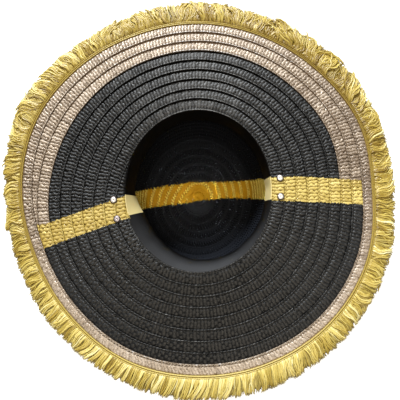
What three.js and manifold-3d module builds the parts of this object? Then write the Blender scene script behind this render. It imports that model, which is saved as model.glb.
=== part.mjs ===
// A wide round hat sewn from flat straw braid, with a fringed edge.
// It lies upside down on the flat tip of its crown, with its head opening facing up.
// Millimetres, +Z up. The origin is the middle of the crown tip's outer face.
// The head opening is longer along Y, front to back, than along X, side to side.

import * as THREE from 'three';
import { mergeVertices } from 'three/addons/utils/BufferGeometryUtils.js';
import Module from 'manifold-3d';

const wasm = await Module();
wasm.setup();

// Driving dimensions
const straw = 2;             // thickness of the sewn braid
const clearance = 0.3;       // gap between two neighbouring pieces
const lengthening = 1.11;    // the head opening's length over its width
const crownDepth = 105;      // from the tip's outer face to the top of the rolled mouth
const tipFlat = 67.5;        // half width of the tip's flat face
const tipCorner = 10;        // outer radius where the tip turns into the side
const mouthInside = 88.5;    // half width of the crown's inside at its mouth
const sideBulge = 1.5;       // how far the side stands out at half its height
const mouthRoll = 3;         // radius over which the mouth rolls out to the brim
const mouthLip = 0.5;        // flat part of the roll, lapped by the brim

const brimStart = 89.8;      // half width of the hole in the brim
const brimEdge = 3;          // how far the braid runs on past the trim's cord line
const brimSteps = [0, 0.25, 0.5, 0.75, 1];    // 0 at the mouth, 1 at the rim

const bandHeight = 28;
const bandThickness = 1.2;
const bandTop = 107;
const bandSteps = [0, 0.35, 0.7, 1];    // 0 at its sewn edge, 1 at its free edge

const headerSteps = [-1, 0, 4.5];    // the fringe's woven heading, from the trim's cord line
const headerThickness = 2;

const fringeDroop = 3;
const fringeSteps = [0, 0.3, 0.7, 1];
const fringeHalves = [1, 2.4, 2.4, 0.8];    // half the fringe's thickness at each step

const rivetStem = 1.6;
const rivetHead = 3.5;
const rivetDome = 0.9;
const rivetBack = 0.6;

// How finely round shapes are divided
const crownFacets = 72;
const brimFacets = 96;
const rivetFacets = 16;

// The brim isn't an exact disc. Each row is a section of it at an angle from +X, towards +Y:
// the radius of the trim's cord line, the height of that line over the mouth, the length of
// the fringe outside it, and how far the sweatband's free edge leans in from the crown.
const sections = [
  { angle: 0, rim: 204.5, lift: -2, fringe: 24.5, lean: 2 },
  { angle: 22.5, rim: 207.5, lift: -3, fringe: 26, lean: 2.5 },
  { angle: 45, rim: 205, lift: -6, fringe: 31, lean: 3 },
  { angle: 67.5, rim: 204.5, lift: -7, fringe: 30, lean: 3 },
  { angle: 90, rim: 205.5, lift: -7, fringe: 29, lean: 3 },
  { angle: 112.5, rim: 204.5, lift: -5, fringe: 26.5, lean: 4 },
  { angle: 135, rim: 205.2, lift: 1, fringe: 24.7, lean: 6 },
  { angle: 157.5, rim: 207.8, lift: 3, fringe: 25.7, lean: 7 },
  { angle: 180, rim: 206.5, lift: 0, fringe: 21, lean: 6.5 },
  { angle: 202.5, rim: 203.7, lift: -2, fringe: 22.8, lean: 14 },
  { angle: 225, rim: 205.1, lift: 2, fringe: 23.4, lean: 15 },
  { angle: 247.5, rim: 209, lift: 6, fringe: 22, lean: 13 },
  { angle: 270, rim: 209, lift: 9, fringe: 24, lean: 10.5 },
  { angle: 292.5, rim: 210, lift: 10, fringe: 24.4, lean: 8 },
  { angle: 315, rim: 211, lift: 9, fringe: 22, lean: 5.5 },
  { angle: 337.5, rim: 209.5, lift: 5, fringe: 24, lean: 3 },
];

// Two rivets stand at each end of the gold stripe, just outside the opening.
const rivets = [
  { name: 'rivet_right_back', angle: 8.2, radius: 96.6 },
  { name: 'rivet_right_front', angle: -4.7, radius: 96.4 },
  { name: 'rivet_left_back', angle: -173.1, radius: 99.5 },
  { name: 'rivet_left_front', angle: -160.1, radius: 100.4 },
];

// Worked out from them
const brimUnder = crownDepth + clearance;
const brimTop = brimUnder + straw;
const sideFoot = tipCorner;
const tipSide = tipFlat + tipCorner - straw;
const sideTop = crownDepth - mouthRoll;

// Closed curves through the sections: one for the rim and fringe, one for the sweatband.
const edgeWave = closedCurve((row) => new THREE.Vector3(row.rim, row.lift, row.fringe));
const leanWave = closedCurve((row) => new THREE.Vector3(row.lean, 0, 0));

function closedCurve(pick) {
  return new THREE.CatmullRomCurve3(sections.map(pick), true, 'catmullrom');
}

function along(curve, angle) {
  return curve.getPoint(THREE.MathUtils.euclideanModulo(angle / (2 * Math.PI), 1));
}

function mouthRadius(angle, halfWidth) {
  return halfWidth / Math.hypot(Math.cos(angle), Math.sin(angle) / lengthening);
}

// The surface of the brim's hidden mid line: across runs from 0 at the mouth to 1 at the rim.
function brimSpot(angle, across) {
  const edge = along(edgeWave, angle);
  const start = mouthRadius(angle, brimStart);
  return {
    radius: start + (edge.x + brimEdge - start) * across,
    height: edge.y * across * across,
  };
}

// The same surface run on outwards: beyond is measured from the trim's cord line.
function edgeSpot(angle, beyond) {
  const cord = along(edgeWave, angle).x;
  const start = mouthRadius(angle, brimStart);
  return brimSpot(angle, (cord + beyond - start) / (cord + brimEdge - start));
}

// The half width of the crown's inside at a height.
function crownInside(height) {
  const up = (height - sideFoot) / (sideTop - sideFoot);
  return tipSide + (mouthInside - tipSide) * up + 4 * sideBulge * up * (1 - up);
}

// A closed outline of [radius, height] pairs turned about the Z axis.
function turned(outline, facets) {
  const points = outline.map(([radius, height]) => new THREE.Vector2(radius, height));
  return new THREE.LatheGeometry(points, facets).rotateX(Math.PI / 2);
}

// A closed outline of [across, up] pairs carried round the hat as a ring. place() gives the
// radius and height that each of its points has at an angle.
function ring(outline, facets, place) {
  const hub = 10;
  const shifted = [...outline, outline[0]].map(([across, up]) => [hub + across, up]);
  const geometry = turned(shifted, facets);
  const spots = geometry.getAttribute('position');
  for (let i = 0; i < spots.count; i++) {
    const angle = Math.atan2(spots.getY(i), spots.getX(i));
    const across = Math.hypot(spots.getX(i), spots.getY(i)) - hub;
    const spot = place(angle, across, spots.getZ(i));
    spots.setXYZ(i, spot.radius * Math.cos(angle), spot.radius * Math.sin(angle), spot.height);
  }
  return geometry;
}

// A strip's outline: out along its lower face and back along its upper one.
function strip(steps, lower, upper) {
  const outward = steps.map((step, i) => [step, lower[i] ?? lower]);
  const inward = steps.map((step, i) => [step, upper[i] ?? upper]).reverse();
  return [...outward, ...inward];
}

function arc(x, y, radius, from, to, steps = 4) {
  const points = [];
  for (let i = 0; i <= steps; i++) {
    const turn = THREE.MathUtils.degToRad(from + ((to - from) * i) / steps);
    points.push([x + radius * Math.cos(turn), y + radius * Math.sin(turn)]);
  }
  return points;
}

function crownGeometry() {
  const middle = (sideFoot + sideTop) / 2;
  const rollCentre = mouthInside + mouthRoll;
  const outline = [
    [0, 0],
    ...arc(tipFlat, tipCorner, tipCorner, -90, 0),
    [crownInside(middle) + straw, middle],
    ...arc(rollCentre, sideTop, mouthRoll - straw, 180, 90, 2),
    [rollCentre + mouthLip, crownDepth - straw],
    [rollCentre + mouthLip, crownDepth],
    ...arc(rollCentre, sideTop, mouthRoll, 90, 180, 3),
    [crownInside(middle), middle],
    ...arc(tipFlat, tipCorner, tipCorner - straw, 0, -90, 3),
    [0, straw],
  ];
  return turned(outline, crownFacets).scale(1, lengthening, 1);
}

function brimGeometry() {
  const outline = strip(brimSteps, brimUnder, brimTop);
  const sheet = ring(outline, brimFacets, (angle, across, up) => {
    const spot = brimSpot(angle, across);
    return { radius: spot.radius, height: spot.height + up };
  });
  return rivets.reduce((rest, rivet) => cut(rest, rivetHole(rivet)), sheet);
}

function rivetHole({ angle, radius }) {
  const turn = THREE.MathUtils.degToRad(angle);
  const hole = rivetStem + clearance;
  return new THREE.CylinderGeometry(hole, hole, 4 * straw, rivetFacets)
    .rotateX(Math.PI / 2)
    .translate(radius * Math.cos(turn), radius * Math.sin(turn), brimTop - straw / 2);
}

function solidOf(geometry) {
  const bare = geometry.clone();
  bare.deleteAttribute('normal');
  bare.deleteAttribute('uv');
  const merged = mergeVertices(bare, 1e-4);
  const vertProperties = new Float32Array(merged.getAttribute('position').array);
  const triVerts = new Uint32Array(merged.getIndex().array);
  return new wasm.Manifold(new wasm.Mesh({ numProp: 3, vertProperties, triVerts }));
}

function cut(geometry, tool) {
  const mesh = solidOf(geometry).subtract(solidOf(tool)).getMesh();
  const result = new THREE.BufferGeometry();
  result.setAttribute('position', new THREE.BufferAttribute(mesh.vertProperties, 3));
  result.setIndex(new THREE.BufferAttribute(mesh.triVerts, 1));
  return result;
}

// The sweatband hangs from the mouth into the crown and leans in towards its free edge.
function sweatbandGeometry() {
  const innerFace = bandSteps.map((step) => [0, step]);
  const outerFace = bandSteps.map((step) => [bandThickness, step]).reverse();
  return ring([...innerFace, ...outerFace], crownFacets, (angle, layer, down) => {
    const height = bandTop - bandHeight * down;
    const wall = crownInside(Math.min(height, sideTop)) - clearance;
    const lean = along(leanWave, angle).x * down;
    return { radius: mouthRadius(angle, wall - lean - bandThickness + layer), height };
  });
}

function headerGeometry() {
  const outline = strip(headerSteps, clearance, clearance + headerThickness);
  return ring(outline, brimFacets, (angle, beyond, up) => {
    const spot = edgeSpot(angle, beyond);
    return { radius: spot.radius, height: brimTop + spot.height + up };
  });
}

// One solid of the fringe's outer form, which droops towards the strands' ends.
function fringeGeometry() {
  const root = brimEdge + clearance;
  const outline = strip(fringeSteps, fringeHalves.map((half) => -half), fringeHalves);
  return ring(outline, brimFacets, (angle, out, up) => {
    const spot = edgeSpot(angle, root + (along(edgeWave, angle).z - root) * out);
    const middle = brimTop - straw / 2 + spot.height - fringeDroop * out * out;
    return { radius: spot.radius, height: middle + up };
  });
}

function rivetGeometry() {
  const top = straw + clearance;
  const outline = [
    [0, -clearance - rivetBack],
    [rivetHead, -clearance - rivetBack],
    [rivetHead, -clearance],
    [rivetStem, -clearance],
    [rivetStem, top],
    [rivetHead, top],
    [rivetHead, top + rivetDome / 2],
    [rivetHead / 2, top + rivetDome],
    [0, top + rivetDome],
  ];
  return turned(outline, rivetFacets);
}

function finish(color, roughness, metalness = 0) {
  return new THREE.MeshStandardMaterial({ color, roughness, metalness });
}

function piece(name, geometry, material) {
  const mesh = new THREE.Mesh(geometry, material);
  mesh.name = name;
  return mesh;
}

const blackStraw = finish('#26262a', 0.55);
const blackSatin = finish('#2b2c31', 0.4);
const goldTape = finish('#d2b45f', 0.45);
const goldStrand = finish('#dfc879', 0.35);
const steel = finish('#d8d8dc', 0.25, 1);

const hat = new THREE.Group();
hat.add(piece('crown', crownGeometry(), blackStraw));
hat.add(piece('brim', brimGeometry(), blackStraw));
hat.add(piece('sweatband', sweatbandGeometry(), blackSatin));
hat.add(piece('fringe_header', headerGeometry(), goldTape));
hat.add(piece('fringe', fringeGeometry(), goldStrand));
for (const rivet of rivets) {
  const mesh = piece(rivet.name, rivetGeometry(), steel);
  const turn = THREE.MathUtils.degToRad(rivet.angle);
  mesh.position.set(rivet.radius * Math.cos(turn), rivet.radius * Math.sin(turn), brimUnder);
  hat.add(mesh);
}

export default hat;
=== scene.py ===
"""A braided straw hat lying on its crown and seen through its opening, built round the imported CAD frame.

The braid is one long spiral from the middle of the tip to the brim, with a closed ring sewn over its end.
"Row" counts its turns outwards: negative in the crown, 0 at the opening and BRIM_ROWS at the ring. "Across"
runs over the width of a row, from 0 at the edge nearer the tip to 1 where the next row begins. Lengths are
in millimetres until a mesh is made.
"""

import math

import bpy
import numpy as np
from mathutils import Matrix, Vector


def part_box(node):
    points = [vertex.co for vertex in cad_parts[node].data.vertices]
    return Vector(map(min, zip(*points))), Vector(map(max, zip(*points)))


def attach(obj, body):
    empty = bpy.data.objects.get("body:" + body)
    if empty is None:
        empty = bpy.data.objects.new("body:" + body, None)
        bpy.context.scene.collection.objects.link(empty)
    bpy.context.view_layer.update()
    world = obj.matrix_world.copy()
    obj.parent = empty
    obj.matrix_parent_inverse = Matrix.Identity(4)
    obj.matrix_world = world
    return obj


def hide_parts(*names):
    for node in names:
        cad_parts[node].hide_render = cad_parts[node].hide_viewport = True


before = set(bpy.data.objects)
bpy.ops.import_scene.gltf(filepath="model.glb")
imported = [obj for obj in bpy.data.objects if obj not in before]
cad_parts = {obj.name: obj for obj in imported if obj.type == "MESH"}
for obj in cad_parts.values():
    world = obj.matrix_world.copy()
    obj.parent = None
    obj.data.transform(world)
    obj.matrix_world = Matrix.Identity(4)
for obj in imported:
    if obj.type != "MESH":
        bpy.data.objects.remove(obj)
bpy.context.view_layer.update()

MM = 0.001
TAU = 2 * math.pi
random = np.random.default_rng(11)

# The crown's half widths, heights and rolled edge. It is an oval, longer from front to back.
LENGTHENING = 1.11
TIP_HEIGHT, TIP_FLAT, TIP_BEND = 2.4, 67.5, 8
WALL_FOOT, WALL_TOP = 76.5, 89.5
WALL_BULGE = 6
MOUTH = 87.5
LIP = 86.2
MOUTH_ROLL, ROLL_REACH = 1.2, 2.8
CROWN_ROWS = 17
BRIM_FROM_ROW = -0.97

# The brim: its height at the opening, half its width where its waves begin, and where a new row begins.
BRIM_MIDDLE = 106.3
BRIM_START = 89.8
BRIM_ROWS = 8
RING_WIDTH = 12.4
BRAID_PAST_CORD = 3
NEW_ROW_FROM, NEW_ROW_TO = math.radians(150), math.radians(210)
FIRST_TURN = -CROWN_ROWS - 0.97

# The braid's own section: how far each face stands off its middle layer at places across. The near edge
# rides up over the row before it as far as the line of sewing, and the far edge runs on under the next row.
# The face stands off by FACE_BASE and by these shares of the step up from one row to the next.
FACE_ACROSS = [0.0, 0.03, 0.1, 0.18, 0.25, 0.95, 1.12]
FACE_STEP = [0.1, 1.0, 1.0, 0.3, 0.15, -0.45, -0.8]
FACE_BASE = 0.1
BACK_ACROSS = [0.03, 0.5, 1.12]
BACK_LIFT = [0.0, -0.7, -1.6]
SEWING = 0.17

# How far apart the straws lie, and the tightest bend that they follow at the middle of the tip.
CROWN_PITCH, BRIM_PITCH = 3.3, 3.9
TIGHTEST_BEND = 8

# The colours beside the gold stripe, as places in a list of materials. Their darker, duller copies follow
# them:
# painted shade for the gaps between the straws and under the next row's edge.
BLACK, CHAMPAGNE, RING = 0, 1, 2
PAINTED_SHADE_COPIES = 3
CHAMPAGNE_FROM_TURN = 5.58


# --- Readings from the frame ---


class Around:
    """A value that changes smoothly round the hat, given at equal steps and read at any angle."""

    FINE = 1440

    def __init__(self, values):
        waves = np.fft.rfft(values)
        fine = np.fft.irfft(waves, self.FINE) * self.FINE / len(values)
        self.fine = np.append(fine, fine[0])

    def __call__(self, angle):
        return np.interp(np.mod(angle, TAU) / TAU * self.FINE, np.arange(self.FINE + 1), self.fine)


def node_points(name):
    """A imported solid's corner points."""
    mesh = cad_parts[name].data
    flat = np.empty(len(mesh.vertices) * 3)
    mesh.vertices.foreach_get("co", flat)
    return flat.reshape(-1, 3) / MM


def edge_of(name, facets, near=None):
    """Radius and height, all round, of a solid's outermost points, or of those near a height."""
    x, y, z = node_points(name).T
    radius = np.hypot(x, y)
    facet = np.rint(np.arctan2(y, x) / TAU * facets).astype(int) % facets
    allowed = np.ones(len(z), bool) if near is None else abs(z - near) < 1
    radii, heights = [], []
    for i in range(facets):
        here = allowed & (facet == i)
        outermost = radius[here].max()
        radii.append(outermost)
        heights.append(z[here & (radius > outermost - 0.5)].mean())
    return Around(radii), Around(heights)


# All round the hat from its right side over the back: the step up from one row to the next, how strongly
# the straws wave and stand out, how many degrees they lean, their tints, and that of the rows' edges.
# The tints are painted light: lighter or darker round the hat as the light falls, with a painted highlight
# along the rows' edges that is strongest at the back.
STEP = Around([0.3, 0.25, 0.35, 0.7, 1.05, 0.95, 0.65, 0.42, 0.35, 0.35, 0.45, 0.6, 0.7, 0.6, 0.45, 0.35])
RELIEF = Around([0.9, 0.95, 0.9, 0.7, 0.55, 0.65, 0.85, 0.95, 0.95, 0.7, 0.45, 0.35, 0.3, 0.35, 0.5, 0.75])
STRAW_LEAN = Around([0, 5, 6, 10, 9, 6, 5, 4, 5, 5, 4, 2, 0, 0, -3, -4])
BLACK_PAINTED_LIGHT_TINT = Around([0.36, 0.4, 0.47, 0.6, 0.7, 0.63, 0.52, 0.35, 0.23, 0.12, 0, 0, 0.05, 0.13, 0.24, 0.32])
CHAMPAGNE_PAINTED_LIGHT_TINT = Around(
    [0.2, 0.22, 0.3, 0.34, 0.36, 0.4, 0.42, 0.35, 0.27, 0.3, 0.36, 0.4, 0.42, 0.42, 0.4, 0.3]
)
EDGE_PAINTED_LIGHT_TINT = Around([0.2, 0.2, 0.3, 0.7, 0.9, 0.65, 0.3, 0.2, 0.2, 0.28, 0.38, 0.46, 0.46, 0.44, 0.36, 0.25])

brim_edge, brim_height = edge_of("brim", 96)
fringe_edge, fringe_height = edge_of("fringe", 96)


def rim(angle):
    """Radius of the cord line, where the fringe is sewn to the brim."""
    return brim_edge(angle) - BRAID_PAST_CORD


def oval(angle):
    """The oval's radius, with half its width as 1."""
    return 1 / np.hypot(np.cos(angle), np.sin(angle) / LENGTHENING)


# --- The surface that the braid follows ---


def crown_profile():
    """Length run, half width and height of the crown's side, from the middle of the tip to the opening."""
    bend = np.linspace(0, math.pi / 2, 12)
    half = TIP_FLAT + (WALL_FOOT - TIP_FLAT) * np.sin(bend)
    height = TIP_HEIGHT + TIP_BEND * (1 - np.cos(bend))
    up = np.linspace(0, 1, 40)[1:]
    wall_height = height[-1] + (BRIM_MIDDLE - MOUTH_ROLL - height[-1]) * up
    wall_half = WALL_FOOT + (WALL_TOP - WALL_FOOT) * up + WALL_BULGE * up * (1 - up)
    wall_half -= (WALL_TOP - LIP) * np.exp((wall_height - wall_height[-1]) / ROLL_REACH)
    half = np.concatenate([[0], half, wall_half])
    height = np.concatenate([[TIP_HEIGHT], height, wall_height])
    run = np.concatenate([[0], np.cumsum(np.hypot(np.diff(half), np.diff(height)))])
    return run, half, height


profile_run, profile_half, profile_height = crown_profile()
CROWN_RUN = profile_run[-1]


def crown_run(row):
    """Length run from the middle of the tip to a row of the crown."""
    return (1 + np.minimum(row, 0) / CROWN_ROWS) * CROWN_RUN


def row_pitch(angle):
    """Width that one turn of the braid shows on the brim."""
    return (rim(angle) - RING_WIDTH - MOUTH * oval(angle)) / BRIM_ROWS


def last_row(angle):
    """The row count at the brim's edge."""
    return (brim_edge(angle) - MOUTH * oval(angle)) / row_pitch(angle)


def brim_surface(radius, angle):
    """Height of the brim's middle layer, which is flat at the opening and wavy at its edge."""
    start = BRIM_START * oval(angle)
    outwards = np.maximum(radius - start, 0) / (brim_edge(angle) - start)
    return BRIM_MIDDLE + (brim_height(angle) - BRIM_MIDDLE) * outwards**2


def surface(row, angle):
    """Radius and height of the braid's middle layer."""
    run = crown_run(row)
    half = np.interp(run, profile_run, profile_half)
    crown_height = np.interp(run, profile_run, profile_height)
    out = np.maximum(row, 0)
    turned_in = (LIP - MOUTH) * np.maximum(1 - out, 0) ** 2
    brim_radius = (MOUTH + turned_in) * oval(angle) + row_pitch(angle) * out
    drop = MOUTH_ROLL * np.exp(-row_pitch(angle) * out / ROLL_REACH)
    height = brim_surface(brim_radius, angle) - drop
    on_crown = row < 0
    return np.where(on_crown, half * oval(angle), brim_radius), np.where(on_crown, crown_height, height)


def facing(row, angle):
    """The surface's normal, towards the inside of the crown or the top, as (outwards, upwards)."""
    step = 0.02
    low_radius, low_height = surface(row - step, angle)
    high_radius, high_height = surface(row + step, angle)
    out, up = high_radius - low_radius, high_height - low_height
    length = np.maximum(np.hypot(out, up), 1e-9)
    return -up / length, out / length


def polar(radius, angle, height):
    """Points, or directions, at these radii, angles and heights."""
    parts = np.broadcast_arrays(radius * np.cos(angle), radius * np.sin(angle), height)
    return np.stack(parts, axis=-1)


def spot(row, angle, lift):
    """Points standing off the middle layer by lift."""
    radius, height = surface(row, angle)
    out, up = facing(row, angle)
    return polar(radius + out * lift, angle, height + up * lift)


def normal(row, angle):
    out, up = facing(row, angle)
    return polar(out, angle, up)


def all_round(steps):
    """A column of angles in equal steps."""
    return (np.arange(steps) * TAU / steps)[:, None]


def tangent(angle):
    return np.stack([-np.sin(angle), np.cos(angle), np.zeros_like(angle)], axis=-1)


def unit(vectors):
    return vectors / np.linalg.norm(vectors, axis=-1, keepdims=True)


def moved_along(row, angle, distance):
    """The angle after moving along the row by a distance."""
    return angle + distance / np.maximum(surface(row, angle)[0], TIGHTEST_BEND)


def face_lift(across, angle):
    """How far the braid's face stands off its middle layer."""
    return FACE_BASE + STEP(angle) * np.interp(across, FACE_ACROSS, FACE_STEP)


def straw_pitch(row):
    """How far apart the straws are, which is less in the crown."""
    return np.where(row < BRIM_FROM_ROW, CROWN_PITCH, BRIM_PITCH)


def parted(angle):
    """How far apart the rows have come at the back, where the layer below shows between them."""
    return np.clip(np.sin(angle), 0, 1) ** 1.5


def frontness(angle):
    """1 at the front of the hat, and 0 at its sides and back."""
    return np.clip(-np.sin(angle), 0, 1)


# --- The braid's rows ---


def joined(turn):
    """How far a turn has moved out by the row that starts beside it, from 0 to 1."""
    angle = NEW_ROW_FROM + np.mod(turn, 1) * TAU
    share = np.clip((angle - NEW_ROW_FROM) / (NEW_ROW_TO - NEW_ROW_FROM), 0, 1)
    return share * share * (3 - 2 * share)


class Rows:
    """Places one straw apart along the spiral or the ring: turn, angle, and the rows of the two edges."""

    def __init__(self, turn, angle, near_row, far_row, closed):
        self.turn, self.angle, self.near, self.far, self.closed = turn, angle, near_row, far_row, closed

    def at(self, across):
        """The row count at one place across."""
        return self.near + (self.far - self.near) * across

    def grid(self, across):
        """The row counts of every place at several places across."""
        return self.near[:, None] + (self.far - self.near)[:, None] * across

    def width(self):
        radius_near, height_near = surface(self.near, self.angle)
        radius_far, height_far = surface(self.far, self.angle)
        return np.hypot(radius_far - radius_near, height_far - height_near)

    def between(self):
        """The places halfway between these ones."""
        if self.closed:
            turned = np.append(self.angle[1:], self.angle[0] + TAU)
            return Rows(self.turn, (self.angle + turned) / 2, self.near, self.far, True)
        halves = [(a[1:] + a[:-1]) / 2 for a in (self.turn, self.angle, self.near, self.far)]
        return Rows(*halves, False)

    def where(self, chosen):
        return Rows(self.turn[chosen], self.angle[chosen], self.near[chosen], self.far[chosen], False)


def straws_along(angle, radius, pitch):
    """How many straws lie along a curve as far as each of its points."""
    density = radius / pitch
    return np.concatenate([[0], np.cumsum(np.diff(angle) * (density[1:] + density[:-1]) / 2)])


def spiral_rows():
    end = BRIM_ROWS - 1 + (NEW_ROW_TO - NEW_ROW_FROM) / TAU
    turn = np.arange(FIRST_TURN, end - 0.02, 0.002)
    middle = np.clip(np.floor(turn) + joined(turn) + 0.5, -CROWN_ROWS, BRIM_ROWS)
    angle = NEW_ROW_FROM + turn * TAU
    radius = np.maximum(surface(middle, angle)[0], TIGHTEST_BEND / 2)
    straws = straws_along(angle, radius, straw_pitch(middle))
    turn = np.interp(np.arange(straws[-1]), straws, turn)
    near = np.floor(turn) + joined(turn)
    clipped = [np.clip(edge, -CROWN_ROWS, BRIM_ROWS) for edge in (near, near + 1)]
    return Rows(turn, NEW_ROW_FROM + turn * TAU, *clipped, False)


def ring_rows():
    around = np.linspace(0, TAU, 721)
    straws = straws_along(around, rim(around), BRIM_PITCH)
    count = round(straws[-1] / 2) * 2
    angle = np.interp(np.arange(count) * straws[-1] / count, straws, around)
    near = np.full(count, float(BRIM_ROWS))
    return Rows(near, angle, near, near + (last_row(angle) - near) / FACE_ACROSS[-1], True)


# The spiral's places in the crown and on the brim. The first place of the brim is in both.
spiral = spiral_rows()
first_on_brim = int(np.argmax(spiral.near > BRIM_FROM_ROW))
crown_rows = spiral.where(slice(first_on_brim + 1))
brim_rows = spiral.where(slice(first_on_brim, None))
ring = ring_rows()


# --- Which straws are which colour ---

# The gold stripe crosses the whole hat. Each knot: place along its path from the tip's middle, how far the
# stripe's middle lies to the back, and the stripe's width.
CLIMB = CROWN_RUN - MOUTH
STRIPE = np.array(
    [
        (-179.4 - CLIMB, -54.4, 27.4),
        (-85.7 - CLIMB, -20.7, 27),
        (-70, -1.2, 26),
        (-15, 7.1, 29),
        (0.6, 9, 26),
        (38.8, 10.6, 23),
        (71.8, 11.6, 25.5),
        (86.7 + CLIMB, 0.9, 27),
        (119 + CLIMB, 0.9, 29.4),
        (191 + CLIMB, -2.6, 28.2),
    ]
).T


def from_stripe(x, y, row):
    """How far back of the stripe's middle a place lies, and the stripe's half width there."""
    run = crown_run(row)
    climbed = run - np.interp(run, profile_run, profile_half)
    path = x + np.sign(x) * np.where(row < 0, climbed, CLIMB)
    return y - np.interp(path, STRIPE[0], STRIPE[1]), np.interp(path, STRIPE[0], STRIPE[2]) / 2


def row_from_stripe(row, angle):
    radius = surface(row, angle)[0]
    return from_stripe(radius * np.cos(angle), radius * np.sin(angle), row)


def colours(rows):
    """Each place's colour beside the stripe. The spiral's last turns behind the stripe are champagne."""
    offset = row_from_stripe(rows.at(0.5), rows.angle)[0]
    colour = np.where((offset > 0) & (rows.turn >= CHAMPAGNE_FROM_TURN), CHAMPAGNE, BLACK)
    return np.where(rows.near >= BRIM_ROWS, RING, colour)


# --- Meshes ---


class Shapes:
    """Closed shapes gathered for one piece: points and triangles, a material for each triangle, and a tint
    and a row for each point."""

    def __init__(self):
        self.parts, self.count = [], 0

    def add(self, points, faces, materials, tints, rows):
        self.parts.append((points, faces + self.count, materials, tints, rows))
        self.count += len(points)

    def skin(self, grid, closed, material, tint=0.5, row=BRIM_ROWS):
        """A ring or bar through sections of equal point counts. material, tint and row are one number, or
        they differ from section to section, or round each section."""
        sections, around = grid.shape[:2]
        steps = sections if closed else sections - 1
        first = np.arange(steps)[:, None] * around
        second = (np.arange(steps)[:, None] + 1) % sections * around
        here = np.arange(around)[None, :]
        after = (here + 1) % around
        a, b, c, d = first + here, first + after, second + after, second + here
        faces = np.stack([np.stack([a, b, c], -1), np.stack([a, c, d], -1)], 2).reshape(-1, 3)
        materials = np.repeat(np.broadcast_to(material, (steps, around)), 2)
        if not closed:
            fan = np.arange(1, around - 1)
            low = np.stack([np.zeros_like(fan), fan + 1, fan], -1)
            high = np.stack([np.zeros_like(fan), fan, fan + 1], -1) + (sections - 1) * around
            faces = np.concatenate([faces, low, high])
            caps = np.repeat([materials[0], materials[-1]], around - 2)
            materials = np.concatenate([materials, caps])
        tints, rows = (np.broadcast_to(value, grid.shape[:2]).ravel() for value in (tint, row))
        self.add(grid.reshape(-1, 3), faces, materials, tints, rows)

    def spindles(self, path, side, up, material, tint, corners=3, row=BRIM_ROWS):
        """Many closed strands that come to a point at both ends. path, side and up are strands x sections
        x 3. material is one number or one for each strand. tint and row are strands x sections or less."""
        strands, sections = path.shape[:2]
        inner, sides, ups = path[:, 1:-1], side[:, 1:-1], up[:, 1:-1]
        edges = [inner - sides, inner + sides, inner + ups]
        if corners == 4:
            edges.insert(1, inner - ups * 0.5)
        body = np.stack(edges, axis=2).reshape(strands, -1, 3)
        points = np.concatenate([path[:, :1], body, path[:, -1:]], axis=1)
        faces = spindle_faces(sections, corners)
        first = np.arange(strands)[:, None, None] * points.shape[1]
        materials = np.repeat(np.broadcast_to(material, strands), len(faces))
        section = np.concatenate([[0], np.repeat(np.arange(1, sections - 1), corners), [sections - 1]])
        spread = (np.broadcast_to(value, (strands, sections)) for value in (tint, row))
        tints, rows = (values[:, section].ravel() for values in spread)
        self.add(points.reshape(-1, 3), (faces + first).reshape(-1, 3), materials, tints, rows)


def spindle_faces(sections, corners):
    """The triangles of one strand: a fan at each end and quads cut in two between its rings of corners."""
    here = np.arange(corners)
    after = (here + 1) % corners
    faces = [np.stack([np.zeros_like(here), 1 + after, 1 + here], -1)]
    for i in range(sections - 3):
        low, high = 1 + i * corners, 1 + (i + 1) * corners
        faces.append(np.stack([low + here, low + after, high + after], -1))
        faces.append(np.stack([low + here, high + after, high + here], -1))
    tail = 1 + (sections - 3) * corners
    faces.append(np.stack([tail + here, tail + after, np.full(corners, tail + corners)], -1))
    return np.concatenate(faces)


def add_object(name, data):
    thing = bpy.data.objects.new(name, data)
    bpy.context.scene.collection.objects.link(thing)
    return thing


def make_piece(name, shapes, materials, slot, *nodes):
    """One mesh object from the shapes, riding on the hat, in place of these CAD nodes."""
    points, faces, material_places, tints, rows = (np.concatenate(part) for part in zip(*shapes.parts))
    mesh = bpy.data.meshes.new(name)
    mesh.vertices.add(len(points))
    mesh.vertices.foreach_set("co", (points * MM).ravel())
    mesh.loops.add(faces.size)
    mesh.loops.foreach_set("vertex_index", faces.ravel())
    mesh.polygons.add(len(faces))
    mesh.polygons.foreach_set("loop_start", np.arange(len(faces)) * 3)
    mesh.polygons.foreach_set("material_index", material_places)
    mesh.update(calc_edges=True)
    offset, half = from_stripe(points[:, 0], points[:, 1], rows)
    for field, values in (("tint", tints), ("gilt", half - abs(offset))):
        layer = mesh.attributes.new(field, "FLOAT", "POINT")
        layer.data.foreach_set("value", values.astype(np.float32))
    mesh.shade_smooth()
    for material in materials:
        mesh.materials.append(material)
    piece = add_object(name, mesh)
    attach(piece, "root")
    if nodes:
        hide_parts(*nodes)
    return piece


# --- The braid ---

# A straw of the face: its places across the row, how thick it is there, and its lift off the strip. It
# wraps the near edge, dips under the sewing and runs on under the next row. Only the part beyond NEAR_PART
# is shortened where the rows have come apart, by so much for each colour.
STRAW_ACROSS = np.concatenate([[0, 0.025, 0.08, 0.17], np.linspace(0.25, 0.93, 7), [1.0, 1.06]])
STRAW_GIRTH = np.array([0, 0.6, 0.85, 0.5, 0.85, 1, 1, 1, 1, 1, 1, 0.9, 0])
STRAW_LIFT = np.array([0.1, 0.35, 0.4, -0.15, 0.05, 0.1, 0.1, 0.1, 0.1, 0.1, 0.1, 0, -0.2])
NEAR_PART = 0.25
BLACK_PARTING, CHAMPAGNE_PARTING = 0.17, 0.09

# The straws of the ring end sooner, lean more at the front and stand out more there.
RING_END, RING_LEAN, RING_RELIEF = 0.83, -25, 0.65

# The long straws: places along each, where they start and end across the row, and how far they bulge.
FLOAT_SHARES = np.array([0, 0.1, 0.5, 0.9, 1])
BACK_SPAN, INSIDE_SPAN = (0.08, 0.98), (0.24, 1.03)
FLOAT_RISE = 0.3

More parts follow.
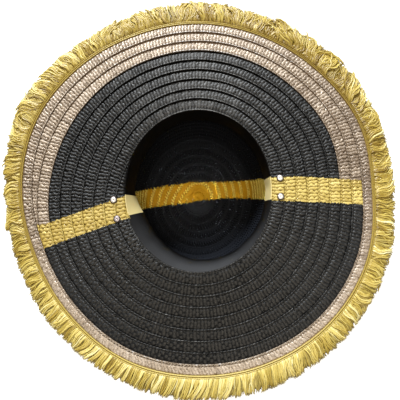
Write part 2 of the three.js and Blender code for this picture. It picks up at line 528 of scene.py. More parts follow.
# The short straws of the gold inside: their reach across, breadth, rise, and each column's place and slant.
SHORT_REACH, SHORT_BREADTH, SHORT_RISE = 0.15, 1.25, 0.8
SHORT_COLUMNS = ((0.72, 0.9), (0.92, -0.9))


def scattered(shape, amount, middle=1.0):
    """Random values round a middle one."""
    return middle + amount * random.standard_normal(shape)


def drifting(count, every):
    """Random values that drift along a row, with a new one every few straws."""
    knots = random.standard_normal(count // every + 2)
    return np.interp(np.arange(count) / every, np.arange(len(knots)), knots)


def varied(count, middle, drift, every, scatter):
    """A value for each straw: a middle one, with a drift along the row and each straw's own scatter."""
    return scattered(count, scatter, middle + drift * drifting(count, every))


def add_strip(shapes, rows, first_material=0, tint=0.25):
    """The closed strip under the straws, its near edge raised on the row before. Open ends run out thin."""
    across = np.array(FACE_ACROSS + BACK_ACROSS[::-1])
    face = face_lift(FACE_ACROSS, rows.angle[:, None])
    back = np.broadcast_to(BACK_LIFT[::-1], (len(face), len(BACK_LIFT)))
    lift = np.concatenate([face, back], axis=1)
    if not rows.closed:
        place = np.arange(len(lift))
        lift = lift * np.clip(np.minimum(place, place[::-1]) / 3, 0.03, 1)[:, None]
    row = rows.grid(across)
    grid = spot(row, rows.angle[:, None], lift)
    materials = (colours(rows.between()) + first_material)[:, None]
    shapes.skin(grid[:, ::-1], rows.closed, materials, tint, row[:, ::-1])


def face_straw_places(rows, end, black):
    """Each face straw's places across its row, up to end, or less far where the rows have come apart."""
    parting = np.where(black, BLACK_PARTING, CHAMPAGNE_PARTING) * parted(rows.angle)
    ends = scattered(len(black), 0.02, np.minimum(end, STRAW_ACROSS[-1] - parting))[:, None]
    squeezed = NEAR_PART + (STRAW_ACROSS - NEAR_PART) * (ends - NEAR_PART) / (STRAW_ACROSS[-1] - NEAR_PART)
    return np.where(STRAW_ACROSS < NEAR_PART, STRAW_ACROSS, squeezed)


def weaving(rows, across, strength, lean):
    """How far each face straw wanders along its row, and how far it goes over and under its neighbours."""
    count = len(rows.angle)
    stray = np.maximum(strength**2, 0.5) * varied(count, 0, drift=6, every=5, scatter=3)
    slant = np.radians(STRAW_LEAN(rows.angle) + lean * frontness(rows.angle) + stray)
    sway = strength * varied(count, 0.42, drift=0.12, every=7, scatter=0.1)
    phase = varied(count, 1.5, drift=1.6, every=11, scatter=0.3)
    woven = np.maximum(strength, 0.6)
    alternating = 1 - 2 * (np.arange(count) % 2)
    weave = woven * alternating * scattered(count, 0.3)
    waves = 2 * TAU * across + phase[:, None]
    wander = (
        -np.tan(slant)[:, None] * rows.width()[:, None] * (across - 0.5)
        + sway[:, None] * np.sin(waves)
        + 0.15 * weave[:, None] * np.cos(waves)
        + 0.9 * np.clip(1 - across / SEWING, 0, 1)
        + scattered((count, 1), 0.15, 0)
    )
    over_under = 0.24 * (woven * weave)[:, None] * np.sin(waves) * (across > 0.2)
    return wander, over_under


def add_straws(shapes, rows, across, wander, lift, girth, broad, plump, tint, corners=3, side=1):
    """One straw at each place, across the row. It wanders along the row and stands off the middle layer by
    lift. girth is its share of its breadth and plumpness along its length, and side is -1 on the back."""
    row = rows.grid(across)
    angle = moved_along(row, rows.angle[:, None], wander)
    sides = tangent(angle) * girth[:, None] * np.reshape(broad, (-1, 1, 1)) * side
    ups = normal(row, angle) * side * girth[:, None] * np.reshape(plump, (-1, 1, 1))
    shapes.spindles(spot(row, angle, lift), sides, ups, colours(rows), tint[:, None], corners, row)


def add_face_straws(shapes, rows, end, lean=0, least=0):
    """The wavy straws that lie side by side across the face of the braid, up to end, woven over and under.
    At the front they lean by so many degrees, and nowhere do they stand out less than least."""
    rows = rows.where(rows.width() > 2)
    count = len(rows.angle)
    strength = np.maximum(RELIEF(rows.angle), least)
    flatness = (1 - strength) / 0.7
    black = colours(rows) == BLACK
    across = face_straw_places(rows, end, black)
    wander, over_under = weaving(rows, across, strength, lean)
    lift = face_lift(across, rows.angle[:, None]) + STRAW_LIFT + over_under
    broad = BRIM_PITCH * scattered(count, 0.02, 0.62 + 1.1 * flatness)
    plump = (0.05 + 0.8 * strength) * scattered(count, 0.1)
    # Painted light: the straws' tint changes round the hat with the light.
    tint = np.where(black, BLACK_PAINTED_LIGHT_TINT(rows.angle), CHAMPAGNE_PAINTED_LIGHT_TINT(rows.angle))
    tint = np.clip(scattered(count, 0.1 * strength, tint), 0, 1)
    add_straws(shapes, rows, across, wander, lift, STRAW_GIRTH, broad, plump, tint)


def add_floats(shapes, rows, span, side):
    """The long straws that lie across the braid, bulging from its face (side 1) or its back (side -1)."""
    rows = rows.where(rows.width() > 3)
    count = len(rows.angle)
    start, end = (scattered(count, 0.015, edge)[:, None] for edge in span)
    across = start + (end - start) * FLOAT_SHARES
    arch = np.sin(FLOAT_SHARES * math.pi) ** 0.7
    face, back = face_lift(across, rows.angle[:, None]), np.interp(across, BACK_ACROSS, BACK_LIFT)
    lift = (face if side > 0 else back) + side * FLOAT_RISE * arch
    wander = drifting(count, 15)[:, None] * (FLOAT_SHARES - 0.5)
    girth = np.clip(arch * 1.15, 0, 1)
    broad = 0.52 * straw_pitch(rows.near)
    plump = scattered(count, 0.12)
    tint = np.clip(scattered(count, 0.2, 0.5), 0, 1)
    add_straws(shapes, rows, across, wander, lift, girth, broad, plump, tint, side=side)


def add_short_straws(shapes, rows, place, slant):
    """One of the slanted columns of short, bright straws on the inside of the crown."""
    rows = rows.where(rows.width() > 6)
    count = len(rows.angle)
    share = np.linspace(-1, 1, 5)
    across = place + SHORT_REACH * share
    lift = face_lift(across, rows.angle[:, None]) + SHORT_RISE * (1 - share**2)
    wander = slant * scattered((count, 1), 0.15) * share
    girth = SHORT_BREADTH * np.sqrt(1 - share**2 * 0.8)
    tint = np.clip(scattered(count, 0.12, 0.95), 0, 1.1)
    add_straws(shapes, rows, across, wander, lift, girth, 1, 0.8, tint, corners=4)


def add_beads(shapes, rows, across, raised, by_step, size, tint):
    """Lengthwise straws or stitches of this length, breadth and thickness, one at each place along a row.
    They stand off the face by raised and by a share of the step up between the rows."""
    length, breadth, thickness = size
    row = rows.at(across)
    middle = spot(row, rows.angle, face_lift(across, rows.angle) + raised + by_step * STEP(rows.angle))
    along, up = tangent(rows.angle), normal(row, rows.angle)
    inwards = unit(np.cross(up, along))
    share = np.array([-1, -0.6, 0.6, 1])
    path = middle[:, None] + (along * length)[:, None] * share[:, None]
    path = path + (inwards * breadth)[:, None] * 0.4 * share[:, None]
    sides = np.repeat((inwards * breadth)[:, None], len(share), axis=1)
    ups = np.repeat((up * thickness)[:, None], len(share), axis=1)
    tints = np.clip(scattered(len(row), 0.15, tint), 0, 1)
    shapes.spindles(path, sides, ups, colours(rows), tints[:, None], row=row[:, None])


def add_tip_button(shapes):
    """The knot of straw that the spiral starts from."""
    reach = np.array([0.02, 4.5, 7.5, 8.2, 4.5, 0.02])
    height = TIP_HEIGHT + np.array([2.0, 1.8, 1.2, 0.2, -0.8, -1.0])
    shapes.skin(polar(reach, all_round(24), height)[:, ::-1], True, BLACK, 0.35, -CROWN_ROWS)


def build_crown(straw, inside_straws):
    """The crown: its strip and the straws of its inside as one piece, those of its outside as another."""
    inside = Shapes()
    # Painted light and shade: the strip is dark deep in the crown and between the short straws, and paler
    # up the wall towards the opening.
    painted_light_up_the_wall = 0.25 + 0.75 * np.clip(1.4 + crown_rows.near / 8, 0, 1)
    add_strip(inside, crown_rows, tint=painted_light_up_the_wall[:, None])
    add_tip_button(inside)
    for (place, slant), rows in zip(SHORT_COLUMNS, (spiral, spiral.between())):
        offset, half = row_from_stripe(rows.at(place), rows.angle)
        in_crown = (rows.near <= BRIM_FROM_ROW) & (rows.near > 0.6 - CROWN_ROWS)
        add_short_straws(inside, rows.where(in_crown & (abs(offset) < half + 3)), place, slant)
    offset, half = row_from_stripe(crown_rows.at(0.5), crown_rows.angle)
    black = (abs(offset) >= half) & (crown_rows.near > 1.5 - CROWN_ROWS)
    add_floats(inside, crown_rows.where(black), INSIDE_SPAN, 1)
    make_piece("crown_braid", inside, inside_straws, "straw", "crown")

    outside = Shapes()
    add_floats(outside, crown_rows, BACK_SPAN, -1)
    make_piece("crown_straws", outside, straw, "straw")


def build_brim(straw):
    """The brim: its strips with the straws of its back, and the straws of its face."""
    brim = Shapes()
    for rows in (brim_rows, ring):
        # The strips take the dark copies: painted shade between the straws.
        add_strip(brim, rows, PAINTED_SHADE_COPIES)
        add_floats(brim, rows, BACK_SPAN, -1)
    make_piece("brim_braid", brim, straw + painted_shade_materials(), "straw", "brim")

    face = Shapes()
    add_face_straws(face, brim_rows, STRAW_ACROSS[-1])
    make_piece("brim_straws", face, straw, "straw")

    outer = Shapes()
    add_face_straws(outer, ring, RING_END, RING_LEAN, RING_RELIEF)
    make_piece("ring_straws", outer, straw, "straw")


def build_edging(straw):
    """The straws that run along the near edge of each row of the brim, paler as a painted highlight, and
    the stitches beside them.
    """
    selvedge, thread = Shapes(), Shapes()
    for rows in (brim_rows.where(brim_rows.width() > 3), ring):
        add_beads(selvedge, rows, 0.045, 0.5, 0.45, (2.15, 0.55, 0.5), EDGE_PAINTED_LIGHT_TINT(rows.angle))
        add_beads(thread, rows.between(), SEWING, -0.1, 0.95, (1.1, 0.7, 0.3), 0.3)
    make_piece("braid_selvedge", selvedge, [black_selvedge()] + straw[1:], "straw")
    make_piece("brim_stitches", thread, stitch_materials(), "straw")


# --- Materials ---


class Tree:
    """A material's nodes, with short calls to add and link them."""

    def __init__(self, name):
        self.material = bpy.data.materials.new(name)
        self.material.use_nodes = True
        self.nodes, self.links = self.material.node_tree.nodes, self.material.node_tree.links
        self.shader = self.nodes["Principled BSDF"]

    def put(self, socket, value):
        """A value, or a link from another socket."""
        if isinstance(value, bpy.types.NodeSocket):
            self.links.new(value, socket)
        else:
            socket.default_value = value

    def fill(self, node, inputs):
        """Values and links for a node's sockets, with underscores for the spaces in their names."""
        for name, value in inputs.items():
            self.put(node.inputs[name.replace("_", " ")], value)

    def set(self, **inputs):
        self.fill(self.shader, inputs)

    def node(self, kind, **inputs):
        node = self.nodes.new("ShaderNode" + kind)
        self.fill(node, inputs)
        return node

    def attribute(self, name):
        node = self.node("Attribute")
        node.attribute_name = name
        return node.outputs["Fac"]

    def noise(self, scale, detail=3.0):
        place = self.node("TexCoord").outputs["Object"]
        return self.node("TexNoise", Vector=place, Scale=scale, Detail=detail).outputs["Fac"]

    def maths(self, operation, *values):
        node = self.node("Math")
        node.operation = operation
        for socket, value in zip(node.inputs, values):
            self.put(socket, value)
        return node.outputs[0]

    def sum_of(self, *parts):
        """Two values added, each in its share."""
        return self.maths("ADD", *(self.maths("MULTIPLY", *part) for part in parts))

    def ramp(self, factor, *stops):
        """A colour for each factor. Each stop is a position and a colour."""
        node = self.node("ValToRGB", Fac=factor)
        elements = node.color_ramp.elements
        while len(elements) < len(stops):
            elements.new(0.5)
        for element, (position, colour) in zip(elements, stops):
            element.position = position
            element.color = (*colour, 1)
        return node.outputs["Color"]

    def mix(self, share, first, second):
        node = self.node("Mix")
        node.data_type = "RGBA"
        sockets = {socket.identifier: socket for socket in (*node.inputs, *node.outputs)}
        for name, value in (("Factor_Float", share), ("A_Color", first), ("B_Color", second)):
            self.put(sockets[name], value)
        return sockets["Result_Color"]

    def spread(self, factor, low, high):
        return self.node("MapRange", Value=factor, To_Min=low, To_Max=high).outputs["Result"]

    def bump(self, height, strength, distance):
        node = self.node("Bump", Height=height, Strength=strength, Distance=distance)
        self.set(Normal=node.outputs["Normal"])


def gilded(tree, factor, stops, shades, gilt, ragged=2.0):
    """The ramp of shades, and in the gold stripe, whose edge is ragged, that of the gilt shades."""
    beside = tree.ramp(factor, *zip(stops, shades))
    if gilt is None:
        return beside
    inside = tree.maths("ADD", tree.attribute("gilt"), tree.spread(tree.noise(450, 1), -ragged, ragged))
    return tree.mix(tree.maths("GREATER_THAN", inside, 0), beside, tree.ramp(factor, *zip(stops, gilt)))


def straw_material(name, shades, gilt, gloss, specular, fleck=0.35, bump=0.6, ragged=2.0, metallic=0.0):
    """Twisted paper straw: each straw lighter or darker, with fine fibres and worn, duller patches."""
    tree = Tree(name)
    fibres = tree.noise(900, 4)
    wear = tree.noise(40, 2)
    flecks = tree.spread(fibres, 0.175 - fleck / 2, 0.175 + fleck / 2)
    mixed = tree.maths("ADD", tree.maths("MULTIPLY", tree.attribute("tint"), 0.75), flecks)
    colour = gilded(tree, mixed, (0.25, 0.58, 0.95), shades, gilt, ragged)
    tree.set(Base_Color=colour, Roughness=tree.spread(wear, gloss - 0.06, gloss + 0.1))
    tree.set(Metallic=metallic, Specular_IOR_Level=specular)
    tree.bump(tree.maths("ADD", fibres, tree.noise(420, 1)), bump, 0.0005)
    return tree.material


def greys(*values):
    return [(value, value, value) for value in values]


# Shades from the darkest tint to the palest.
BLACK_SHADES = greys(0.005, 0.018, 0.13)
# The edge straws' paler shades are a painted highlight along the rows' edges.
SELVEDGE_PAINTED_HIGHLIGHT_SHADES = greys(0.006, 0.06, 0.24)
GOLD_SHADES = [(0.42, 0.3, 0.065), (0.67, 0.53, 0.165), (0.88, 0.8, 0.4)]
CHAMPAGNE_SHADES = [(0.2, 0.145, 0.1), (0.53, 0.43, 0.33), (0.82, 0.81, 0.83)]
# Painted shade: dull, dark copies of the straw colours for the gaps between the straws.
BLACK_PAINTED_SHADE_COLOURS = greys(0.002, 0.004, 0.008)
CHAMPAGNE_PAINTED_SHADE_COLOURS = [(0.24, 0.16, 0.1), (0.34, 0.24, 0.16), (0.45, 0.35, 0.25)]
GOLD_PAINTED_SHADE_COLOURS = [(0.3, 0.2, 0.035), (0.46, 0.33, 0.08), (0.6, 0.46, 0.15)]
# Inside the crown: an even dark black as painted shade, and a deeper, more orange gold as painted reflected
# light.
INSIDE_BLACK_SHADES = [(0.0125, 0.014, 0.018)] * 3
INSIDE_GOLD_SHADES = [(0.34, 0.17, 0.006), (0.62, 0.36, 0.015), (1.0, 0.87, 0.22)]
FRINGE_SHADES = [(0.24, 0.15, 0.012), (0.46, 0.335, 0.055), (0.69, 0.56, 0.16), (0.92, 0.86, 0.5)]
# A darker copy of the fringe colours: painted shade for the threads under the top layer.
PAINTED_SHADE_FRINGE_COLOURS = [tuple(0.78 * channel for channel in shade) for shade in FRINGE_SHADES]
BLACK_THREAD = greys(0.003, 0.006)
GOLD_THREAD = [(0.38, 0.27, 0.05), (0.56, 0.42, 0.12)]
PALE_THREAD = [(0.12, 0.08, 0.045), (0.25, 0.19, 0.13)]
# The tape is real, and its dark colour is partly painted shade for the groove between the cords.
TAPE_THREAD = [(0.25, 0.17, 0.03), (0.38, 0.28, 0.07)]


def brim_materials():
    """The brim's straw before the champagne rows, in them, and in the ring."""
    champagne = {"shades": CHAMPAGNE_SHADES, "fleck": 0.9, "bump": 0.9, "metallic": 0.15}
    return [
        straw_material("black_straw", BLACK_SHADES, GOLD_SHADES, 0.44, 0.42, fleck=0.6),
        straw_material("champagne_straw", gilt=GOLD_SHADES, gloss=0.36, specular=0.6, **champagne),
        straw_material("ring_straw", gilt=None, gloss=0.33, specular=0.8, **champagne),
    ]


def painted_shade_materials():
    """The same three, dull and dark: painted shade for the layer that shows in the gaps between the straws.
    """
    return [
        straw_material("black_painted_shade", BLACK_PAINTED_SHADE_COLOURS, GOLD_PAINTED_SHADE_COLOURS, 0.8, 0.1),
        straw_material("champagne_painted_shade", CHAMPAGNE_PAINTED_SHADE_COLOURS, GOLD_PAINTED_SHADE_COLOURS, 0.8, 0.1),
        straw_material("ring_painted_shade", CHAMPAGNE_PAINTED_SHADE_COLOURS, None, 0.8, 0.1),
    ]


def black_selvedge():
    return straw_material("black_selvedge", SELVEDGE_PAINTED_HIGHLIGHT_SHADES, GOLD_SHADES, 0.42, 0.5)


# A duller copy of the straw for the crown's inside: painted shade and painted reflected light.
def inside_straw():
    return straw_material("inside_straw", INSIDE_BLACK_SHADES, INSIDE_GOLD_SHADES, 0.88, 0.03, ragged=4.0)


def thread_material(name, shades, gilt=None):
    """Dull twisted thread."""
    tree = Tree(name)
    twist = tree.noise(1500, 2)
    colour = gilded(tree, twist, (0.3, 0.7), shades, gilt)
    tree.set(Base_Color=colour, Roughness=tree.spread(twist, 0.6, 0.8))
    tree.bump(twist, 0.3, 0.0002)
    return tree.material


def stitch_materials():
    return [
        thread_material("black_thread", BLACK_THREAD, GOLD_THREAD),
        thread_material("pale_thread", PALE_THREAD, GOLD_THREAD),
        thread_material("ring_thread", PALE_THREAD),
    ]


def satin(name, dark, pale, gloss, specular):
    """Woven satin: a fine weave, a soft sheen and faint creases, and paler where the tint attribute carries
    painted light.
    """
    tree = Tree(name)
    weave = tree.noise(2600, 2)
    crease = tree.noise(55, 3)
    shade = tree.sum_of((weave, 0.4), (crease, 0.6))
    paleness_with_painted_light = tree.sum_of((shade, 0.3), (tree.attribute("tint"), 0.7))
    colour = tree.ramp(paleness_with_painted_light, (0.15, dark), (0.85, pale))
    roughness = tree.spread(crease, gloss, gloss + 0.15)
    tree.set(Base_Color=colour, Roughness=roughness, Specular_IOR_Level=specular)
    tree.bump(shade, 0.25, 0.0006)
    return tree.material


def fringe_material(name, shades, gloss):
    """Glossy thread, from its darkest tint to its palest."""
    tree = Tree(name)
    colour = tree.ramp(tree.attribute("tint"), *zip((0.0, 0.33, 0.66, 1.0), shades))
    fibre = tree.noise(1800, 2)
    roughness = tree.spread(fibre, gloss - 0.08, gloss + 0.12)
    tree.set(Base_Color=colour, Roughness=roughness, Specular_IOR_Level=0.7)
    tree.bump(fibre, 0.3, 0.0002)
    return tree.material


def steel(name, colour, gloss):
    """Plated steel with fine scratches."""
    tree = Tree(name)
    scratch = tree.noise(1200, 3)
    dull = tuple(channel * 0.85 for channel in colour)
    roughness = tree.spread(scratch, gloss - 0.06, gloss + 0.1)
    tree.set(Base_Color=tree.ramp(scratch, (0.3, dull), (0.7, colour)), Roughness=roughness, Metallic=1)
    tree.bump(scratch, 0.08, 0.0001)
    return tree.material


# --- The sweatband ---

BAND_THICKNESS = 0.7
BAND_HEM, HEM_THICKENING = 3.2, 0.25
BAND_BEND = 1.8
BAND_ROW = -1.2
BAND_STEPS = 480

# Places down the band from the seam to its free edge, and which of them is about its middle.
BAND_DOWN = np.array([0, 0.02, 0.06, 0.14, 0.25, 0.4, 0.58, 0.76, 0.87, 0.885, 0.91, 0.97, 1])


def band_middle(angle, foot):
    """Radius of the band's middle layer from the seam down to the foot, with soft ripples."""
    ripple = 0.5 * np.sin(angle * 23 + 2 * np.sin(angle * 3)) + 0.35 * np.sin(angle * 11 + 1)
    leant = 1 - (1 - BAND_DOWN) ** BAND_BEND
    middle = (LIP - 0.4) * oval(angle) * (1 - leant) + (foot(angle) - 0.9) * leant
    return middle + ripple * (BAND_DOWN * (1.3 - BAND_DOWN))


def band_tint(angle, yellow):
    """How pale the satin is: painted light on the black at the front near the seam, fading out towards the
    free edge, and painted light making the yellow paler on the right.
    """
    paleness_with_painted_light = frontness(angle) ** 1.2 * np.clip(1.3 - 1.5 * BAND_DOWN, 0, 1)
    return np.where(yellow, 0.5 + 0.5 * np.cos(angle), paleness_with_painted_light)


def there_and_back(outward, inward):
    """A closed section: down one side and back up the other."""
    return np.concatenate([outward, inward[:, ::-1]], axis=1)


def build_sweatband(black, yellow):
    """A satin strip sewn round the opening. It bends over from the seam down to its free edge."""
    low, high = (corner[2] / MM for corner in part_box("sweatband"))
    foot = edge_of("sweatband", 72, near=low)[0]
    angle = all_round(BAND_STEPS)
    middle = band_middle(angle, foot)
    height = np.broadcast_to(BRIM_MIDDLE - 0.6 - (high - low) * BAND_DOWN, middle.shape)
    half = BAND_THICKNESS / 2 + np.where(BAND_DOWN > 1 - BAND_HEM / (high - low), HEM_THICKENING, 0)
    radius = there_and_back(middle - half, middle + half)
    grid = polar(radius, angle, there_and_back(height, height))
    offset, stripe_half = row_from_stripe(np.full_like(angle, BAND_ROW), angle + math.pi / BAND_STEPS)
    in_stripe = abs(offset) < stripe_half
    tint = band_tint(angle, in_stripe)
    shapes = Shapes()
    shapes.skin(grid, True, in_stripe.astype(int), there_and_back(tint, tint))
    band = make_piece("satin_sweatband", shapes, [black, yellow], "sweatband", "sweatband")


# --- The fringe and its header ---

# All round the hat: how wild the fringe is, how far it reaches beyond its even length, how much it leans,
# the tint of its threads at their roots and tips, and the tint of the header's cords. These tints are
# painted light and shade: the roots darker at the back and right and paler at the front, and the cords
# darker at the right and paler at the front and back.
FRIZZ = Around([1.0, 1.1, 1.3, 1.3, 1.1, 1.0, 0.9, 0.9, 0.85, 0.65, 0.45, 0.35, 0.3, 0.4, 0.6, 0.85])
REACH = Around([2.3, -0.2, -0.8, -1.6, 0.9, 0.0, 0.2, 0.4, -0.6, 1.2, 0.2, 0.5, 0.9, 0.4, 0.5, -0.2])
LEAN = Around([0, 0, 0, 0, 0, 0, 0, 0, 0, 0, -0.1, -0.25, -0.3, -0.25, -0.1, 0])
ROOT_PAINTED_LIGHT_TINT = Around([0.2, 0.1, 0.1, 0.1, 0.1, 0.15, 0.25, 0.3, 0.3, 0.4, 0.5, 0.6, 0.65, 0.6, 0.5, 0.3])
TIP_PAINTED_LIGHT_TINT = Around([0.55, 0.52, 0.48, 0.4, 0.42, 0.5, 0.6, 0.55, 0.5, 0.5, 0.5, 0.5, 0.52, 0.5, 0.52, 0.6])
CORD_PAINTED_LIGHT_TINT = Around([0.15, 0.05, 0.05, 0.2, 0.4, 0.45, 0.3, 0.2, 0.15, 0.2, 0.4, 0.5, 0.55, 0.5, 0.4, 0.25])

# The fringe's tufts and bundles, how far beyond the cord line it starts, how much longer its strands are
# than the solid fringe, and the places along a strand.
TUFTS, BUNDLES = 120, 330
ROOT = 1.6
FRINGE_PAST_EDGE = 2.5
STRAND_SHARES = np.array([0, 0.08, 0.22, 0.38, 0.54, 0.7, 0.86, 1])


def edge_spot(angle, beyond, lift):
    """A point beyond the cord line, on the brim's surface run outwards."""
    radius = rim(angle) + beyond
    return polar(radius, angle, brim_surface(radius, angle) + lift)


def add_twisted_cord(shapes, beyond, lift, radius, twist):
    """A two-ply cord laid round the brim."""
    angle, turn = all_round(1080), all_round(8).T
    plies = 1 + 0.28 * np.cos(2 * (turn - angle * twist))
    out, up = radius * plies * np.cos(turn), radius * plies * np.sin(turn)
    shapes.skin(edge_spot(angle, beyond + out, lift + up), True, 0, CORD_PAINTED_LIGHT_TINT(angle))


def build_header(cord, tape):
    """The head of the fringe: two fine twisted cords on a narrow tape, whose dark colour is partly painted
    shade between and beside the cords.
    """
    shapes = Shapes()
    beyond = np.array([-0.9, -0.7, 1.0, 4.4, 4.4, -0.9])
    lift = np.array([0.2, 0.7, 0.6, 0.2, -1.5, -1.5])
    shapes.skin(edge_spot(all_round(360), beyond, lift), True, 1)
    add_twisted_cord(shapes, -0.1, 1.15, 0.6, 330)
    add_twisted_cord(shapes, 2.0, 0.9, 0.55, 260)
    make_piece("fringe_head", shapes, [cord, tape], "trim", "fringe_header")


def fringe_length(angle):
    return fringe_edge(angle) + FRINGE_PAST_EDGE + REACH(angle) - rim(angle) - ROOT


def fringe_spot(angle, out, lift):
    """A point in the fringe this far out from its root, following the droop of the solid fringe."""
    full = fringe_length(angle)
    droop = (fringe_height(angle) - edge_spot(angle, ROOT + full, 0)[..., 2]) * (out / full) ** 2
    return edge_spot(angle, ROOT + out, lift + droop)


def build_fringe_mat(threads):
    """The thick of the fringe: a ragged mat of short threads under the strands, darker as painted shade."""
    angle = all_round(1800)
    share = np.array([0, 0.4, 0.8, 1, 0.8, 0.4, 0])
    lift = np.array([0.3, 0.3, 0.1, -0.2, -0.5, -0.7, -0.7])
    ragged = scattered(angle.shape, 0.05, 0.82)
    tint = scattered(angle.shape, 0.12, 0.5 * ROOT_PAINTED_LIGHT_TINT(angle) + 0.5 * TIP_PAINTED_LIGHT_TINT(angle) - 0.1)
    shapes = Shapes()
    grid = fringe_spot(angle, fringe_length(angle) * ragged * share, lift)
    shapes.skin(grid, True, 0, np.clip(tint, 0, 1))
    make_piece("fringe_mat", shapes, [threads], "fringe")


class Strands:
    """One layer of the fringe: glossy strands gathered in flat bundles, and where the fringe is wild in
    hooked tufts with ragged ends. Tufts, bundles and strands each have random values of their own."""

    def __init__(self, count, wildness):
        angle = np.sort(random.uniform(0, TAU, count))
        tuft, bundle = ((angle / TAU * groups).astype(int) for groups in (TUFTS, BUNDLES))
        self.by_tuft = random.standard_normal((3, TUFTS))[:, tuft, None]
        self.by_bundle = random.standard_normal((3, BUNDLES))[:, bundle, None]
        self.scatter = random.standard_normal((6, count, 1))
        self.angle, self.bundle = angle[:, None], bundle[:, None]
        self.frizz = FRIZZ(self.angle) * wildness
        self.from_middle = self.angle / TAU * TUFTS - tuft[:, None] - 0.5

    def heading(self):
        """Which way each strand runs at its places, as an angle aside from straight outwards."""
        ruffled = 0.2 * self.by_tuft[0] + 0.1 * self.scatter[0]
        lean = LEAN(self.angle) + 0.1 * self.by_bundle[0] + self.frizz * ruffled
        curl = self.frizz * (0.6 * self.by_tuft[1] + 0.25 * self.scatter[1])
        wave = self.frizz * (0.3 + 0.12 * abs(self.scatter[2]))
        phase = 2.5 * self.by_tuft[2] + 0.5 * self.scatter[5]
        return lean + curl * STRAND_SHARES**1.5 + wave * np.sin(phase + STRAND_SHARES * 8)

    def length(self):
        """How long each strand is: shorter at the sides of its tuft, and uneven."""
        rounding = self.frizz * 0.8 * self.from_middle**2
        uneven = 0.05 * abs(self.by_bundle[1]) + 0.05 * abs(self.scatter[3])
        return fringe_length(self.angle) * (1 - rounding - uneven)

    def gather(self):
        """How far each strand's tip is drawn aside, to the middle of its bundle and of its tuft."""
        to_bundle = 0.5 * ((self.bundle + 0.5) / BUNDLES * TAU - self.angle)
        to_tuft = 0.45 * self.frizz * self.from_middle * TAU / TUFTS
        return (to_bundle - to_tuft) * rim(self.angle)

    def path(self, layer):
        """Each strand's places, in a layer that lies this high."""
        share, heading = STRAND_SHARES, self.heading()
        step = np.diff(share, prepend=0)
        out, aside = np.cumsum(np.cos(heading) * step, axis=1), np.cumsum(np.sin(heading) * step, axis=1)
        size = self.length() / np.maximum(out.max(axis=1, keepdims=True), 0.6)
        rise = self.frizz * 1.2 * self.by_tuft[0] + 0.9 * self.scatter[4]
        hump = layer * np.sin(share * math.pi * 0.7) + rise * share * (1.4 - share)
        sideways = size * aside + self.gather() * share
        return fringe_spot(self.angle, size * out, 0.2 + hump) + tangent(self.angle) * sideways[..., None]

    def tint(self):
        """Each strand's tint at its places: painted light and shade along it round the hat, mottled
        bundles, and painted shade darkening each tuft to its sides.
        """
        mottle = scattered(self.angle.shape, 0.08 + 0.07 * self.frizz, 0.11 * self.by_bundle[2])
        mottle_and_painted_shade = mottle + self.frizz * (0.05 - 0.9 * self.from_middle**2)
        even = ROOT_PAINTED_LIGHT_TINT(self.angle) * (1 - STRAND_SHARES) + TIP_PAINTED_LIGHT_TINT(self.angle) * STRAND_SHARES
        return np.clip(even + mottle_and_painted_shade, 0, 1)


def strand_frames(path):
    """Directions beside and above each strand, rolled a little round it."""
    direction = unit(np.gradient(path, axis=1))
    flat = unit(np.cross(direction, np.array([0, 0, 1.0])))
    upright = np.cross(flat, direction)
    roll = scattered((len(path), 1, 1), 0.5, 0)
    return flat * np.cos(roll) + upright * np.sin(roll), upright * np.cos(roll) - flat * np.sin(roll)


def build_fringe_layer(name, count, layer, wildness, threads, *nodes):
    strands = Strands(count, wildness)
    path = strands.path(layer)
    beside, above = strand_frames(path)
    broad = random.uniform(0.6, 1.3, (count, 1, 1)) * (0.75 + 0.65 * FRIZZ(strands.angle))[..., None]
    sides = beside * broad * (1 - 0.3 * STRAND_SHARES)[:, None]
    shapes = Shapes()
    shapes.spindles(path, sides, above * broad * 0.7, 0, strands.tint())
    make_piece(name, shapes, [threads], "fringe", *nodes)


# --- The rivets ---

# A rivet's outline, from the middle of its cap to the middle of its back: its radii, its heights from its
# top and then from its bottom, and the material of each stretch, which is 1 in the dark ring.
RIVET_RADII = np.array([0.02, 1.6, 2.7, 3.2, 3.35, 3.9, 4.2, 3.9, 1.6, 1.6, 3.4, 3.2, 0.02])
RIVET_FROM_TOP = np.array([0.3, 0.28, 0.2, 0, -0.5, -0.45, -0.8, -1.3, -1.3])
RIVET_FROM_BOTTOM = np.array([0.5, 0.4, -0.2, -0.3])
RIVET_PARTS = np.array([0, 0, 0, 0, 1, 1, 1, 1, 1, 0, 0, 0, 0])


def build_rivet(node, cap, dark_ring):
    """A flat cap with a rounded edge in a dark ring, on its stem through the brim."""
    low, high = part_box(node)
    x, y = ((low[i] + high[i]) / 2 / MM for i in (0, 1))
    height = np.concatenate([high[2] / MM + RIVET_FROM_TOP, low[2] / MM + RIVET_FROM_BOTTOM])
    grid = polar(RIVET_RADII, all_round(32), height) + (x, y, 0)
    shapes = Shapes()
    shapes.skin(grid[:, ::-1], True, RIVET_PARTS[::-1])
    make_piece(node + "_cap", shapes, [cap, dark_ring], "rivets", node)


# --- Floor, light and camera ---

# The four rivets are alike; their different colours are painted reflection, lighter on the right and darker
# at the front left.
PAINTED_LIT_RIVET, PAINTED_DIM_RIVET, PAINTED_DARK_RIVET = (0.92, 0.9, 0.85), (0.75, 0.73, 0.72), (0.5, 0.45, 0.47)
RIVET_RING = (0.12, 0.09, 0.08)
RIVET_COLOURS = {
    "rivet_right_back": PAINTED_LIT_RIVET,
    "rivet_right_front": PAINTED_LIT_RIVET,
    "rivet_left_back": PAINTED_DIM_RIVET,
    "rivet_left_front": PAINTED_DARK_RIVET,
}

# The camera stands above the opening, a little to the front, and looks slightly to the back.
CAMERA_PLACE = (0.002, -0.053, 0.6053)
CAMERA_TILT = math.atan2(0.041, 0.4983)
CAMERA_LENS, CAMERA_SENSOR = 38.6, 36


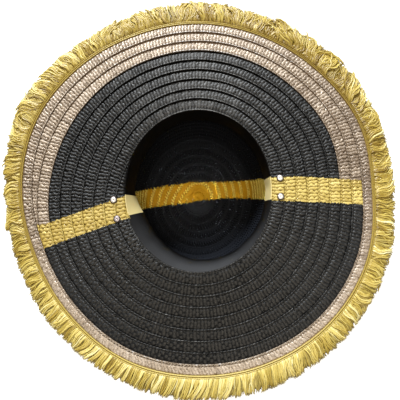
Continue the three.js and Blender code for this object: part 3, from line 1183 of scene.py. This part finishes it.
def build_floor():
    """A plain floor that is as white as paper in the picture."""
    tree = Tree("white_floor")
    tree.set(Base_Color=tree.ramp(tree.noise(3, 2), *zip((0.3, 0.7), greys(0.6, 0.62))), Roughness=0.9)
    tree.set(Emission_Color=(1, 1, 1, 1), Emission_Strength=0.85)
    mesh = bpy.data.meshes.new("floor")
    size = 4
    corners = [(-size, -size, 0), (size, -size, 0), (size, size, 0), (-size, size, 0)]
    mesh.from_pydata(corners, [], [(0, 1, 2, 3)])
    mesh.materials.append(tree.material)
    add_object("floor", mesh)


def add_area_light(name, place, size, power, colour, spread=180):
    """A square light aimed at the middle of the brim, and how wide it shines, in degrees."""
    light = bpy.data.lights.new(name, "AREA")
    light.size = size
    light.energy = power
    light.color = colour
    light.spread = math.radians(spread)
    lamp = add_object(name, light)
    lamp.location = place
    towards = Vector((0, 0, BRIM_MIDDLE * MM)) - lamp.location
    lamp.rotation_euler = towards.to_track_quat("-Z", "Y").to_euler()


def build_light():
    """A low window light from the back, a soft warm light above the hat, and a pale room."""
    world = bpy.data.worlds.new("studio")
    world.use_nodes = True
    background = world.node_tree.nodes["Background"]
    background.inputs["Color"].default_value = (1, 0.93, 0.82, 1)
    background.inputs["Strength"].default_value = 0.28
    scene = bpy.context.scene
    scene.world = world
    scene.view_settings.view_transform = "Standard"
    add_area_light("key", (-0.6, 2.6, 1.8), 0.6, 165, (0.91, 0.96, 1))
    add_area_light("crown_fill", (0, -0.1, 1.2), 0.05, 0.025, (1, 0.97, 0.9), spread=7)
    add_area_light("overhead", (0, -0.2, 2.2), 1.0, 18, (1, 0.86, 0.66))


def build_camera():
    data = bpy.data.cameras.new("camera")
    data.lens, data.sensor_width = CAMERA_LENS, CAMERA_SENSOR
    camera = add_object("camera", data)
    camera.location = CAMERA_PLACE
    camera.rotation_euler = (CAMERA_TILT, 0, 0)
    bpy.context.scene.camera = camera


# --- The whole hat ---

build_camera()
build_light()
build_floor()

straws = brim_materials()
build_crown(straws, [inside_straw(), straws[CHAMPAGNE], straws[RING]])
build_brim(straws)
build_edging(straws)

build_sweatband(
    satin("black_satin", (0.002, 0.002, 0.0022), (0.042, 0.043, 0.046), 0.5, 0.1),
    satin("yellow_satin", (0.74, 0.62, 0.29), (0.95, 0.8, 0.38), 0.42, 0.5),
)

over_threads = fringe_material("fringe_gold", FRINGE_SHADES, 0.4)
painted_shade_threads = fringe_material("fringe_painted_shade", PAINTED_SHADE_FRINGE_COLOURS, 0.46)
build_header(over_threads, thread_material("header_tape", TAPE_THREAD))
build_fringe_mat(painted_shade_threads)
# The under layer's darker threads are painted shade beneath the top layer.
build_fringe_layer("fringe_under", 3000, 0.2, 0.6, painted_shade_threads, "fringe")
build_fringe_layer("fringe_over", 3700, 1.6, 1.0, over_threads)

for rivet, colour in RIVET_COLOURS.items():
    build_rivet(rivet, steel(rivet + "_steel", colour, 0.5), steel(rivet + "_ring", RIVET_RING, 0.5))
